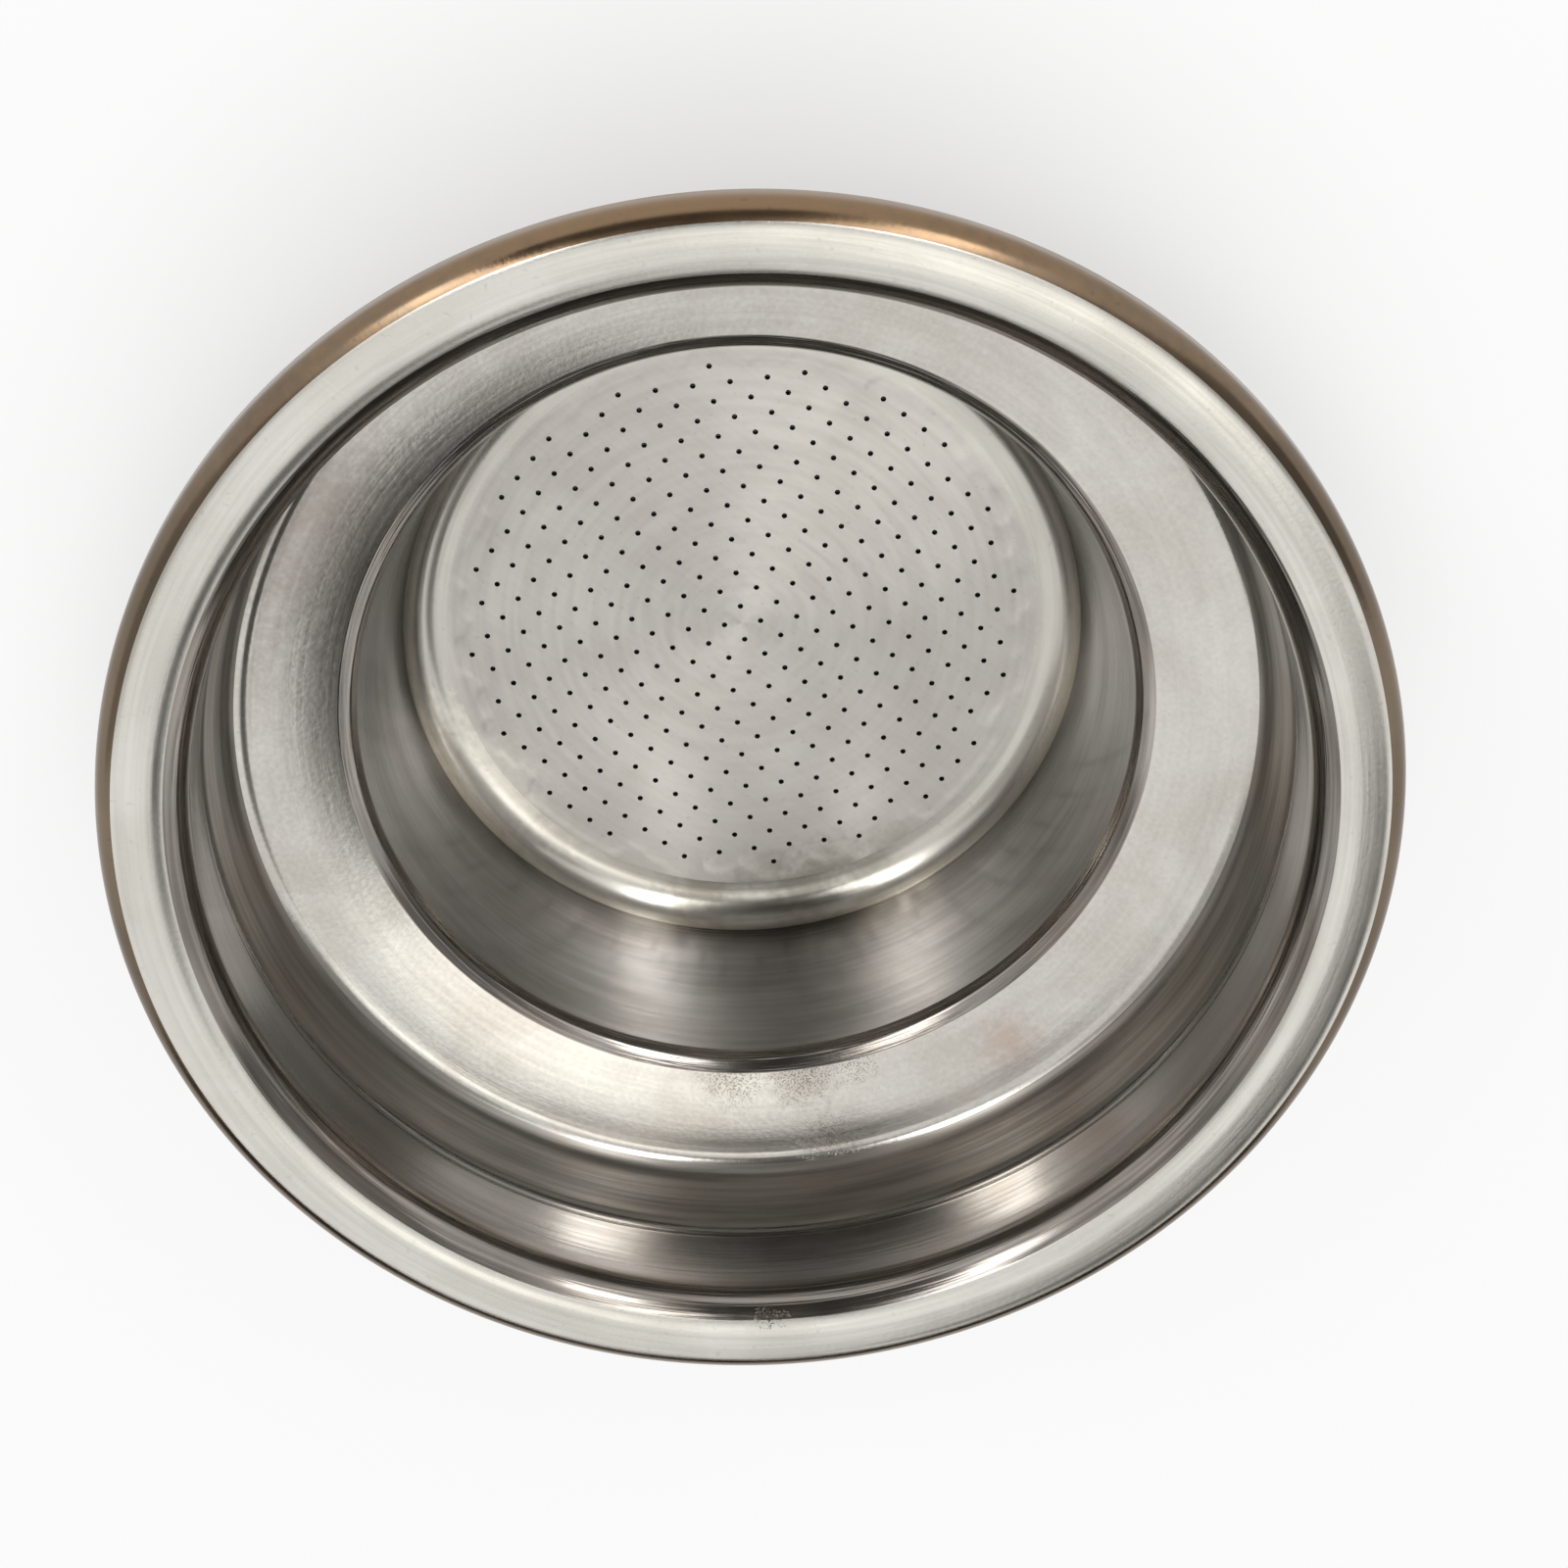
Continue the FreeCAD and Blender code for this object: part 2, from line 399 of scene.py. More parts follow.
def border_points(holes, field, flat):
    """Extra points of the upper face, close together where the punched field steps down."""
    count = int(flat / FINE_SPACING)
    points = []
    for i in range(-count, count + 1):
        for j in range(-count, count + 1):
            x, y = i * FINE_SPACING, j * FINE_SPACING
            if math.hypot(x, y) > flat - FINE_SPACING:
                continue
            near = nearest_hole(x, y, holes, field)
            edge = FINE_STRETCH[0] < near / holes.pitch < FINE_STRETCH[1]
            edge = edge and math.hypot(x, y) > field - holes.pitch
            coarse = i % COARSE_EVERY == 0 and j % COARSE_EVERY == 0 and near > holes.top
            if edge or coarse:
                points.append(Vector((x, y)))
    return points


# Dents of use, two in the well and two in the bowl: azimuth, height, width and depth.
DENTS = (
    (-22.5, 3.4 * MM, 0.9 * MM, 0.10 * MM),
    (-96.0, 8.0 * MM, 2.4 * MM, 0.06 * MM),
    (-20.0, 24.5 * MM, 2.6 * MM, 0.07 * MM),
    (118.0, 23.5 * MM, 3.0 * MM, 0.08 * MM),
)

# The waviness that drawing leaves in the walls: how deep and how high a wave is, and how
# many there are round the axis, about.
WAVE_DEPTH = 0.025 * MM
WAVE_HEIGHT = 9 * MM
WAVES = 1.7

# The walls move from this far over the floor to this far under the bend into the rim, and
# come in over the third length.
OVER_FLOOR = 1.0 * MM
UNDER_RIM = 0.4 * MM
EASE = 1.5 * MM


def dented(point):
    """A point of the shell's walls, moved outward by the dents and the draw's waviness."""
    radius = math.hypot(point.x, point.y)
    azimuth = math.atan2(point.y, point.x)
    push = 0
    for place, height, width, depth in DENTS:
        turn = (azimuth - math.radians(place) + math.pi) % math.tau - math.pi
        apart = math.hypot(turn * radius, point.z - height) / width
        push += depth * math.exp(-apart * apart * 2)
    around = Vector((math.cos(azimuth), math.sin(azimuth), point.z / WAVE_HEIGHT))
    push += WAVE_DEPTH * noise.noise(around * WAVES)
    return point + Vector((point.x, point.y, 0)) * (push / radius)


def turned_shell(mesh, shell, flat):
    """The pressed shell, its section turned round the axis. Gives its rings of vertices."""
    profile = shell_profile(shell, flat)
    rings = []
    for point, _ in profile:
        ring = circle(CENTRE, point.x, shell.segments)
        rings.append([mesh.verts.new((spot.x, spot.y, point.y)) for spot in ring])
    for (_, finish), ring, after in zip(profile, rings, rings[1:]):
        join_rings(mesh, ring, after, finish)
    return rings


def dent_walls(rings, shell):
    """Move the shell's walls by the dents and the waviness."""
    low = shell.sheet + OVER_FLOOR
    high = shell.rim_top - shell.mouth_bend - UNDER_RIM
    for ring in rings:
        for vertex in ring:
            height = vertex.co.z
            inside = smooth_step(height, low, low + EASE)
            inside *= 1 - smooth_step(height, high - EASE, high)
            if inside:
                vertex.co = vertex.co.lerp(dented(vertex.co), inside)


# How much wider a hole is at a face of the floor than just inside it, and how far in.
HOLE_LIP = 0.04 * MM
LIP_DEPTH = HOLE_LIP / 3

# The step of the punched field fades out between these distances from the flat's rim.
FADE_START = 0.5 * MM
FADE_END = 0.05 * MM

# How many floor bends the flat of the floor ends short of the floor's corner.
FLAT_MARGIN = 1.1


def sink_field(upper, shell, holes, field, flat):
    """Set the punched field of the upper face a little into the floor."""
    start, end = (part * holes.pitch for part in STEP_STRETCH)
    for vertex in upper.vertices:
        near = nearest_hole(vertex.co.x, vertex.co.y, holes, field)
        down = holes.step * (1 - smooth_step(near, start, end))
        down *= 1 - smooth_step(vertex.co.length, flat - FADE_START, flat - FADE_END)
        vertex.co.z = shell.sheet - down


def hole_wall(mesh, place, shell, holes, top_ring, bottom_ring):
    """The wall of one hole, widening downward, with a soft lip at both ends."""
    loops = [top_ring]
    for width, height in (
        (holes.top, shell.sheet - holes.step - LIP_DEPTH),
        (holes.bottom, LIP_DEPTH),
    ):
        ring = circle(place, width / 2, holes.sides)
        loops.append([mesh.verts.new((point.x, point.y, height)) for point in ring])
    loops.append(bottom_ring)
    for high, low in zip(loops, loops[1:]):
        join_rings(mesh, high, low, "hole")
    for loop in (top_ring, bottom_ring):
        for step, vertex in enumerate(loop):
            mesh.edges.get((loop[step - 1], vertex)).smooth = False


def perforated_floor(mesh, shell, holes, field, flat):
    """Both faces of the floor, and the walls of its holes."""
    places = hole_places(holes, field)
    rim = circle(CENTRE, flat, shell.segments)
    plates = []
    for width, spare in (
        (holes.top, border_points(holes, field, flat)),
        (holes.bottom, []),
    ):
        rings = [circle(place, (width + HOLE_LIP) / 2, holes.sides) for place in places]
        plates.append(FloorPlate(mesh, rim, rings, spare))
    upper, lower = plates
    sink_field(upper, shell, holes, field, flat)
    for face in upper.faces:
        face.material_index = FINISHES.index("floor")
    for face in lower.faces:
        face.normal_flip()
        face.material_index = FINISHES.index("outside")
    for place, top_ring, bottom_ring in zip(places, upper.rings, lower.rings):
        hole_wall(mesh, place, shell, holes, top_ring, bottom_ring)


def build_basket(settings):
    """The whole basket as one closed mesh: the shell, both faces of the floor, the holes."""
    shell, holes = settings.shell, settings.holes
    floor_radius = section_corners(shell)[0]
    field = floor_radius - holes.border
    flat = floor_radius - FLAT_MARGIN * shell.floor_bend
    mesh = bmesh.new()
    dent_walls(turned_shell(mesh, shell, flat), shell)
    perforated_floor(mesh, shell, holes, field, flat)
    bmesh.ops.remove_doubles(mesh, verts=mesh.verts, dist=1e-6)
    bmesh.ops.recalc_face_normals(mesh, faces=mesh.faces)
    loose = [edge for edge in mesh.edges if not edge.is_manifold]
    if loose:
        raise RuntimeError("the basket isn't closed at %d edges" % len(loose))
    return mesh


def nodes_of(tree):
    """Add a node to a tree, with its settings and plain inputs given by name."""

    def add(kind, inputs=None, **settings):
        node = tree.nodes.new(kind)
        for name, value in settings.items():
            setattr(node, name, value)
        for name, value in (inputs or {}).items():
            if isinstance(value, bpy.types.NodeSocket):
                tree.links.new(value, node.inputs[name])
            else:
                node.inputs[name].default_value = value
        return node

    return add


def new_group(name, inputs, outputs):
    """An empty shader node group with named sockets, and its two ends."""
    group = bpy.data.node_groups.new(name, "ShaderNodeTree")
    for socket, kind, value in inputs:
        item = group.interface.new_socket(socket, in_out="INPUT", socket_type=kind)
        item.default_value = value
    for socket, kind in outputs:
        group.interface.new_socket(socket, in_out="OUTPUT", socket_type=kind)
    add = nodes_of(group)
    return group, add, add("NodeGroupInput"), add("NodeGroupOutput")


def new_material(name):
    """An empty node material, and the function that adds nodes to it."""
    material = bpy.data.materials.new(name)
    material.use_nodes = True
    material.node_tree.nodes.clear()
    return material, nodes_of(material.node_tree)


def opaque(colour):
    """A colour as a node takes it, with its alpha."""
    return (*colour, 1.0)


def curve(add, value, low, high):
    """A smooth step of a value from low to high."""
    inputs = {"Value": value, "From Min": low, "From Max": high}
    node = add("ShaderNodeMapRange", inputs, interpolation_type="SMOOTHSTEP")
    return node.outputs["Result"]


def math_node(add, operation, *values, clamp=False):
    """Result of a Math node on some values, each a socket or a number."""
    inputs = dict(enumerate(values))
    return add("ShaderNodeMath", inputs, operation=operation, use_clamp=clamp).outputs[0]


def rolling_grain_group():
    """Fine straight lines that the rolling mill leaves in the sheet, along +X."""
    group, add, given, made = new_group(
        "Rolling Grain",
        [("Fineness", "NodeSocketFloat", 3200.0)],
        [("Grain", "NodeSocketFloat")],
    )
    place = add("ShaderNodeTexCoord").outputs["Object"]
    parts = add("ShaderNodeSeparateXYZ", {0: place})
    along = math_node(add, "MULTIPLY", given.outputs["Fineness"], 0.07)
    x = math_node(add, "MULTIPLY", parts.outputs["X"], along)
    y = math_node(add, "MULTIPLY", parts.outputs["Y"], given.outputs["Fineness"])
    stretched = add("ShaderNodeCombineXYZ", {"X": x, "Y": y}).outputs[0]
    lines = add("ShaderNodeTexNoise", {"Vector": stretched, "Scale": 1.0, "Detail": 3.0})
    group.links.new(lines.outputs["Fac"], made.inputs["Grain"])
    return group


def draw_lines_group():
    """Lines round the axis that drawing and turning leave, fine ones and broad bands."""
    group, add, given, made = new_group(
        "Draw Lines",
        [("Fineness", "NodeSocketFloat", 2600.0), ("Breaks", "NodeSocketFloat", 2.0)],
        [("Lines", "NodeSocketFloat"), ("Bands", "NodeSocketFloat")],
    )
    place = add("ShaderNodeTexCoord").outputs["Object"]
    parts = add("ShaderNodeSeparateXYZ", {0: place})
    flat = add("ShaderNodeCombineXYZ", {"X": parts.outputs["X"], "Y": parts.outputs["Y"]})
    radius = add("ShaderNodeVectorMath", {0: flat.outputs[0]}, operation="LENGTH")
    round_axis = add("ShaderNodeVectorMath", {0: flat.outputs[0]}, operation="NORMALIZE")
    broken = add(
        "ShaderNodeVectorMath", {0: round_axis.outputs[0], "Scale": given.outputs["Breaks"]},
        operation="SCALE",
    )
    bits = add("ShaderNodeSeparateXYZ", {0: broken.outputs[0]})
    across = math_node(add, "ADD", radius.outputs["Value"], parts.outputs["Z"])
    for name, factor in (("Lines", 1.0), ("Bands", 0.16)):
        fineness = math_node(add, "MULTIPLY", given.outputs["Fineness"], factor)
        step = math_node(add, "MULTIPLY", across, fineness)
        where = add(
            "ShaderNodeCombineXYZ", {"X": bits.outputs["X"], "Y": bits.outputs["Y"], "Z": step},
        )
        lines = add(
            "ShaderNodeTexNoise", {"Vector": where.outputs[0], "Scale": 1.0, "Detail": 3.0},
        )
        group.links.new(curve(add, lines.outputs["Fac"], 0.33, 0.67), made.inputs[name])
    return group


def pressed_skin_group():
    """The soft orange peel of pressed sheet, and the cloudy tone of a handled surface."""
    group, add, given, made = new_group(
        "Pressed Skin",
        [("Peel Size", "NodeSocketFloat", 3400.0), ("Cloud Size", "NodeSocketFloat", 140.0)],
        [("Peel", "NodeSocketFloat"), ("Cloud", "NodeSocketFloat")],
    )
    place = add("ShaderNodeTexCoord").outputs["Object"]
    peel = add(
        "ShaderNodeTexNoise",
        {"Vector": place, "Scale": given.outputs["Peel Size"], "Detail": 2.0},
    )
    cloud = add(
        "ShaderNodeTexNoise",
        {"Vector": place, "Scale": given.outputs["Cloud Size"], "Detail": 4.0,
         "Distortion": 0.6},
    )
    group.links.new(peel.outputs["Fac"], made.inputs["Peel"])
    group.links.new(curve(add, cloud.outputs["Fac"], 0.3, 0.7), made.inputs["Cloud"])
    return group


def handling_group():
    """Fine scratches in three directions, and specks, from years of use."""
    group, add, given, made = new_group(
        "Handling Marks",
        [("Amount", "NodeSocketFloat", 0.5)],
        [("Scratches", "NodeSocketFloat"), ("Specks", "NodeSocketFloat")],
    )
    place = add("ShaderNodeTexCoord").outputs["Object"]
    found = []
    for turn, offset in ((0.6, 0.0), (-0.9, 3.0), (2.2, 7.0)):
        placed = add(
            "ShaderNodeMapping",
            {"Vector": place, "Rotation": (0, 0, turn), "Scale": (60.0, 7000.0, 60.0),
             "Location": (offset, offset, offset)},
        )
        lines = add(
            "ShaderNodeTexNoise", {"Vector": placed.outputs[0], "Scale": 1.0, "Detail": 1.0},
        )
        found.append(curve(add, lines.outputs["Fac"], 0.72, 0.80))
    crossed = math_node(add, "MAXIMUM", found[0], found[1])
    crossed = math_node(add, "MAXIMUM", crossed, found[2])
    scratches = math_node(add, "MULTIPLY", crossed, given.outputs["Amount"], clamp=True)
    grit = add("ShaderNodeTexNoise", {"Vector": place, "Scale": 2600.0, "Detail": 0.0})
    rare = curve(add, grit.outputs["Fac"], 0.76, 0.82)
    specks = math_node(add, "MULTIPLY", rare, given.outputs["Amount"], clamp=True)
    group.links.new(scratches, made.inputs["Scratches"])
    group.links.new(specks, made.inputs["Specks"])
    return group


def local_mark_group():
    """A mark at one place: all of it with a ragged edge, and as specks."""
    group, add, given, made = new_group(
        "Local Mark",
        [("Place", "NodeSocketVector", (0, 0, 0)), ("Reach", "NodeSocketFloat", 0.002)],
        [("Mask", "NodeSocketFloat"), ("Specks", "NodeSocketFloat")],
    )
    place = add("ShaderNodeTexCoord").outputs["Object"]
    apart = add(
        "ShaderNodeVectorMath", {0: place, 1: given.outputs["Place"]}, operation="DISTANCE",
    )
    part = math_node(add, "DIVIDE", apart.outputs["Value"], given.outputs["Reach"])
    ragged = add("ShaderNodeTexNoise", {"Vector": place, "Scale": 1400.0, "Detail": 3.0})
    shifted = math_node(add, "ADD", part, ragged.outputs["Fac"])
    mask = math_node(add, "SUBTRACT", 1.0, curve(add, shifted, 0.55, 1.5))
    group.links.new(mask, made.inputs["Mask"])
    grit = add("ShaderNodeTexNoise", {"Vector": place, "Scale": 9000.0, "Detail": 0.0})
    found = math_node(add, "MULTIPLY", curve(add, grit.outputs["Fac"], 0.58, 0.66), mask)
    group.links.new(found, made.inputs["Specks"])
    return group


def ring_mask_group():
    """Goes from nought to one between two radii round the axis."""
    group, add, given, made = new_group(
        "Ring Mask",
        [("Start", "NodeSocketFloat", 0.017), ("End", "NodeSocketFloat", 0.018)],
        [("Mask", "NodeSocketFloat")],
    )
    place = add("ShaderNodeTexCoord").outputs["Object"]
    flat = add("ShaderNodeVectorMath", {0: place, 1: (1, 1, 0)}, operation="MULTIPLY")
    radius = add("ShaderNodeVectorMath", {0: flat.outputs[0]}, operation="LENGTH")
    mask = curve(add, radius.outputs["Value"], given.outputs["Start"], given.outputs["End"])
    group.links.new(mask, made.inputs["Mask"])
    return group


def shared_groups():
    """The effects that the finishes share, by a short name."""
    return {
        "grain": rolling_grain_group(),
        "lines": draw_lines_group(),
        "skin": pressed_skin_group(),
        "marks": handling_group(),
        "local": local_mark_group(),
        "ring": ring_mask_group(),
    }


def mark(azimuth, radius, height, reach, *rest):
    """A local mark: its place and its reach, given in degrees and millimetres, and the rest."""
    angle = math.radians(azimuth)
    place = Vector((math.cos(angle) * radius, math.sin(angle) * radius, height)) * MM
    return place, reach * MM, *rest


# Colour and depth of a pit, and the relief of a scratch and of the full grain.
PIT_TONE = (0.035, 0.025, 0.02)
PIT_DEPTH = 0.03 * MM
SCRATCH_DEPTH = 0.006 * MM
GRAIN_DEPTH = 0.012 * MM

# How much paler a scratch is than the steel, and how much darker a speck is.
SCRATCH_LIGHT = 1.25
SPECK_DARK = 0.25


@dataclass
class SteelFinish:
    """What one finish of the basket's steel is made of."""

    tone: tuple
    # The middle roughness, and how far the clouds and the lines move it.
    roughness: float
    spread: float
    # How far the highlights are drawn out across the lines round the axis.
    turned: float = 0.0
    # How far each effect darkens and lightens the tone.
    grain: float = 0.0
    lines: float = 0.0
    bands: float = 0.0
    stipple: float = 0.0
    cloud: float = 0.0
    # Strength of the scratches and specks.
    marks: float = 0.0
    # Height of the draw lines and of the peel, in millimetres.
    ridges: float = 0.0
    peel: float = 0.0
    # Local marks: stains and painted light have a colour and a strength, and pits a strength.
    stains_and_painted_light: tuple = ()
    pits: tuple = ()
    # A ring from one radius to another where the roughness changes by the third value.
    polish: tuple = ()
    # A ring from one radius to another inside which the tone is multiplied by a colour: painted
    # shade.
    corner: tuple = ()


class SteelNodes:
    """The nodes of one steel material, with the shared effects placed in it."""

    def __init__(self, name, finish, groups):
        """Start the material with the effects that every finish has."""
        self.material, self.add = new_material(name)
        self.finish = finish
        self.groups = groups
        self.grain = self.effect("grain")["Grain"]
        self.lines = self.effect("lines")
        self.skin = self.effect("skin")
        self.marks = self.effect("marks", Amount=finish.marks)
        self.pits = None
        for place, reach, strength in finish.pits:
            specks = self.effect("local", Place=place, Reach=reach)["Specks"]
            found = self.math("MULTIPLY", specks, strength)
            self.pits = self.math("MAXIMUM", self.pits, found) if self.pits else found

    def effect(self, kind, **inputs):
        """Outputs of a shared effect, with its values in this material."""
        return self.add("ShaderNodeGroup", inputs, node_tree=self.groups[kind]).outputs

    def math(self, operation, *values):
        """Result of a Math node in this material."""
        return math_node(self.add, operation, *values)

    def blend(self, kind, factor, below, above):
        """A colour mixed from two, each of the three a socket or a value."""
        inputs = {0: factor, 6: below, 7: above}
        return self.add("ShaderNodeMix", inputs, data_type="RGBA", blend_type=kind).outputs[2]

    def shade(self):
        """A grey near one that follows the bands, the lines, the grain and the stipple."""
        finish = self.finish
        shade = self.math("MULTIPLY_ADD", self.lines["Bands"], -finish.bands, finish.bands / 2)
        for value, amount in (
            (self.lines["Lines"], finish.lines),
            (self.grain, finish.grain),
            (self.skin["Peel"], finish.stipple),
        ):
            if amount:
                part = self.math("MULTIPLY_ADD", value, -amount, amount / 2)
                shade = self.math("ADD", shade, part)
        level = self.math("ADD", 1.0, shade)
        grey = {"Red": level, "Green": level, "Blue": level}
        return self.add("ShaderNodeCombineColor", grey).outputs[0]

    def colour(self, tarnish):
        """The tone, clouded by tarnish, with its lines, stains, painted light and shade, pits
        and scratches.
        """
        finish = self.finish
        cloud = self.math("MULTIPLY", self.skin["Cloud"], finish.cloud)
        colour = self.blend("MIX", cloud, opaque(finish.tone), opaque(tarnish))
        colour = self.blend("MULTIPLY", 1.0, colour, self.shade())
        # Stains, and patches of painted highlight, shade and reflection, each mixed over the
        # tone.
        for place, reach, stain_and_painted_light, strength in finish.stains_and_painted_light:
            mask = self.effect("local", Place=place, Reach=reach)["Mask"]
            mask = self.math("MULTIPLY", mask, strength)
            colour = self.blend("MIX", mask, colour, opaque(stain_and_painted_light))
        # Painted shade: inside the ring the tone is darkened, as at the bottom of the well.
        if finish.corner:
            start, end, shade_tint = finish.corner
            unshaded = self.effect("ring", Start=start, End=end)["Mask"]
            shaded_colour = self.blend("MULTIPLY", 1.0, colour, opaque(shade_tint))
            colour = self.blend("MIX", unshaded, shaded_colour, colour)
        if self.pits:
            colour = self.blend("MIX", self.pits, colour, opaque(PIT_TONE))
        light = opaque(min(1.0, part * SCRATCH_LIGHT) for part in finish.tone)
        colour = self.blend("MIX", self.marks["Scratches"], colour, light)
        dark = opaque(part * SPECK_DARK for part in finish.tone)
        return self.blend("MIX", self.marks["Specks"], colour, dark)

    def roughness(self):
        """A middle value, spread by the clouds and the lines, and lower where polished."""
        finish = self.finish
        wander = self.math("ADD", self.skin["Cloud"], self.lines["Lines"])
        least = finish.roughness - finish.spread
        rough = self.math("MULTIPLY_ADD", wander, finish.spread, least)
        if finish.polish:
            start, end, change = finish.polish
            mask = self.effect("ring", Start=start, End=end)["Mask"]
            rough = self.math("MULTIPLY_ADD", mask, change, rough)
        return rough

    def normal(self):
        """The relief of the peel, the grain, the lines, the scratches and the pits."""
        finish = self.finish
        relief = self.math("MULTIPLY", self.skin["Peel"], finish.peel * MM)
        for value, depth in (
            (self.grain, finish.grain * GRAIN_DEPTH),
            (self.lines["Lines"], finish.ridges * MM),
            (self.marks["Scratches"], -SCRATCH_DEPTH),
        ):
            relief = self.math("MULTIPLY_ADD", value, depth, relief)
        if self.pits:
            relief = self.math("MULTIPLY_ADD", self.pits, -PIT_DEPTH, relief)
        bump = {"Height": relief, "Strength": 1.0, "Distance": 1.0}
        return self.add("ShaderNodeBump", bump).outputs["Normal"]


def steel_material(name, finish, tarnish, groups):
    """Steel with its grain, draw lines, peel, tarnish, marks and painted light and shade, from
    one finish.
    """
    nodes = SteelNodes(name, finish, groups)
    inputs = {
        "Base Color": nodes.colour(tarnish),
        "Metallic": 1.0,
        "Roughness": nodes.roughness(),
        "Normal": nodes.normal(),
    }
    if finish.turned:
        round_axis = nodes.add("ShaderNodeTangent", direction_type="RADIAL", axis="Z")
        inputs["Anisotropic"] = finish.turned
        inputs["Anisotropic Rotation"] = 0.25
        inputs["Tangent"] = round_axis.outputs[0]
    steel = nodes.add("ShaderNodeBsdfPrincipled", inputs)
    nodes.add("ShaderNodeOutputMaterial", {"Surface": steel.outputs[0]})
    return nodes.material


def basket_finishes(tones):
    """The finishes, from the floor to the outside."""
    rust = (0.36, 0.20, 0.14)
    # Brown grime in small spots, and also a large painted dark reflection on the ledge.
    grime_and_painted_shade = (0.20, 0.16, 0.13)
    # Painted shade: dark reflections along the edge of the floor.
    shade = (0.24, 0.22, 0.17)
    # Painted highlight: a pale crescent at the edge of the floor.
    gleam = (0.86, 0.83, 0.74)
    # Painted reflection: the warm brown of a nearby hand on the turned-down edge.
    hand_reflection = (0.28, 0.18, 0.10)
    nicks = (
        mark(-50.6, 31.2, 28.8, 0.9, 0.9),
        mark(-48.8, 31.3, 28.9, 0.7, 0.8),
    )
    return {
        "floor": SteelFinish(
            tones.floor, 0.36, 0.05, turned=0.6, grain=0.12, lines=0.03, bands=0.02,
            ridges=0.0002, peel=0.002, stipple=0.05, cloud=0.10, marks=0.12,
            polish=(17.3 * MM, 18.6 * MM, -0.13),
            stains_and_painted_light=(
                # Painted highlight: a pale crescent on the floor near its edge.
                mark(-108.0, 20.6, 0.8, 6.2, gleam, 0.6),
                # Painted shade: dark reflections along the floor's edge.
                mark(-46.0, 18.2, 0.8, 3.4, shade, 0.5),
                mark(-34.0, 18.2, 0.8, 3.6, shade, 0.6),
                mark(-20.0, 18.2, 0.8, 3.0, shade, 0.4),
            ),
        ),
        "hole": SteelFinish(tones.hole, 0.7, 0.05, cloud=0.2),
        "border": SteelFinish(
            tones.border, 0.23, 0.04, turned=0.6, grain=0.05, lines=0.06, bands=0.06,
            ridges=0.001, peel=0.001, cloud=0.12, marks=0.10,
            stains_and_painted_light=(
                # Painted highlight: a pale crescent on the border.
                mark(-108.0, 19.6, 1.0, 8.5, gleam, 0.8),
                # Painted shade: dark reflections along the border.
                mark(-60.0, 18.6, 0.8, 3.6, shade, 0.6),
                mark(-40.0, 18.4, 0.8, 3.6, shade, 0.6),
                mark(-26.0, 18.4, 0.8, 3.0, shade, 0.5),
            ),
        ),
        "well": SteelFinish(
            tones.well, 0.15, 0.03, turned=0.7, lines=0.10, bands=0.25, ridges=0.003,
            peel=0.001, stipple=0.04, cloud=0.2, marks=0.08,
            # Painted shade at the bottom of the well wall, next to the floor bend.
            corner=(20.2 * MM, 21.0 * MM, (0.42, 0.40, 0.38)),
        ),
        "lip": SteelFinish(
            tones.lip, 0.16, 0.04, turned=0.3, lines=0.4, bands=0.5, ridges=0.010,
            stipple=0.08, cloud=0.3, pits=nicks,
        ),
        "ledge": SteelFinish(
            tones.ledge, 0.18, 0.03, turned=0.3, lines=0.04, bands=0.08, ridges=0.001,
            peel=0.0035, stipple=0.22, cloud=0.25, marks=0.06,
            stains_and_painted_light=(
                # Painted shade: a large dark reflection over the left of the ledge, then rust
                # and grime spots.
                mark(-168.0, 26.0, 15.4, 11.0, grime_and_painted_shade, 0.4),
                mark(-15.0, 26.0, 15.4, 2.6, rust, 0.35),
                mark(-44.0, 23.6, 14.9, 3.0, grime_and_painted_shade, 0.35),
                mark(-56.0, 23.4, 14.9, 2.4, grime_and_painted_shade, 0.25),
                mark(-40.0, 28.0, 15.8, 3.0, grime_and_painted_shade, 0.25),
            ),
            pits=(
                mark(-44.0, 23.4, 14.9, 3.0, 0.4),
                mark(-54.0, 23.4, 14.9, 2.8, 0.35),
                mark(-36.0, 23.4, 14.9, 2.4, 0.3),
                mark(-42.0, 28.2, 15.8, 2.8, 0.3),
            ),
        ),
        "step": SteelFinish(
            tones.step, 0.34, 0.05, turned=0.5, lines=0.25, bands=0.45, ridges=0.005,
            stipple=0.06, cloud=0.3, marks=0.05,
        ),
        "bowl": SteelFinish(
            tones.bowl, 0.15, 0.04, turned=0.6, lines=0.12, bands=0.30, ridges=0.003,
            peel=0.001, stipple=0.05, cloud=0.25, marks=0.08,
        ),
        "rim": SteelFinish(
            tones.rim, 0.25, 0.05, turned=0.3, lines=0.10, bands=0.10, ridges=0.002,
            peel=0.003, stipple=0.05, cloud=0.12, marks=0.10, pits=nicks,
        ),
        "edge": SteelFinish(
            tones.edge, 0.22, 0.05, turned=0.4, lines=0.15, bands=0.2, ridges=0.004,
            peel=0.003, stipple=0.06, cloud=0.25, marks=0.15,
            # Painted reflection of a nearby hand, warm brown over the near side of the edge.
            stains_and_painted_light=(mark(130.0, 35.0, 28.0, 36.0, hand_reflection, 0.75),),
        ),
        "outside": SteelFinish(
            tones.outside, 0.24, 0.06, turned=0.5, lines=0.14, bands=0.15, ridges=0.005,
            peel=0.004, stipple=0.05, cloud=0.2, marks=0.2,
        ),
    }


